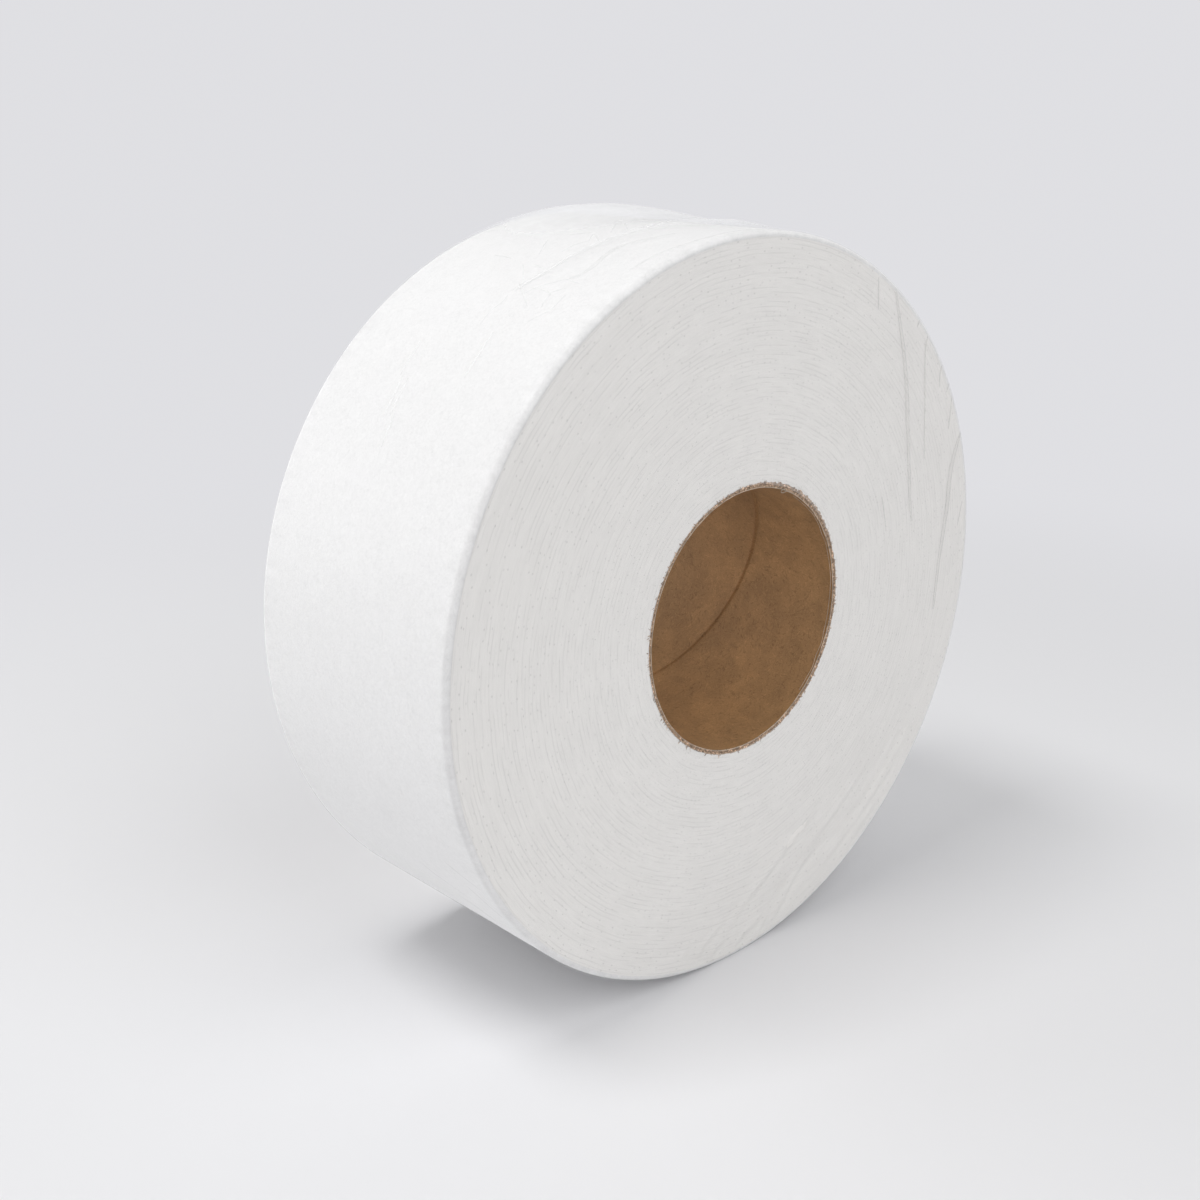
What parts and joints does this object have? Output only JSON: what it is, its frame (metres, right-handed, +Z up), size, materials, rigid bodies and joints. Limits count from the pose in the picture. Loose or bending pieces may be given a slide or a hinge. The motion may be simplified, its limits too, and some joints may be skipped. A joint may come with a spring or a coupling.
{
  "type": "toilet paper roll",
  "caption": "Jumbo roll of white tissue wound on an open cardboard tube, in clear shrink film, lying on a small flat on its rim; a dispenser spindle goes through the tube.",
  "frame": {"origin": "middle of the cardboard core's bore, on the roll's axis, halfway between the two end faces", "axes": "Y is the roll's axis, with the end face in view towards -Y; Z is up, with the flat that the roll rests on at the bottom, facing -Z"},
  "size_m": [0.229, 0.0869, 0.2294],
  "materials": {
    "tissue_paper": "soft, matt white tissue with fine rings of turn edges",
    "core_board": "brown kraft board, fibrous, matt",
    "clear_film": "thin clear shrink film, low sheen, fine creases"
  },
  "bodies": {
    "root": {"tissue_roll": "tissue_paper", "cardboard_core": "core_board", "shrink_film": "clear_film"}
  },
  "joints": []
}
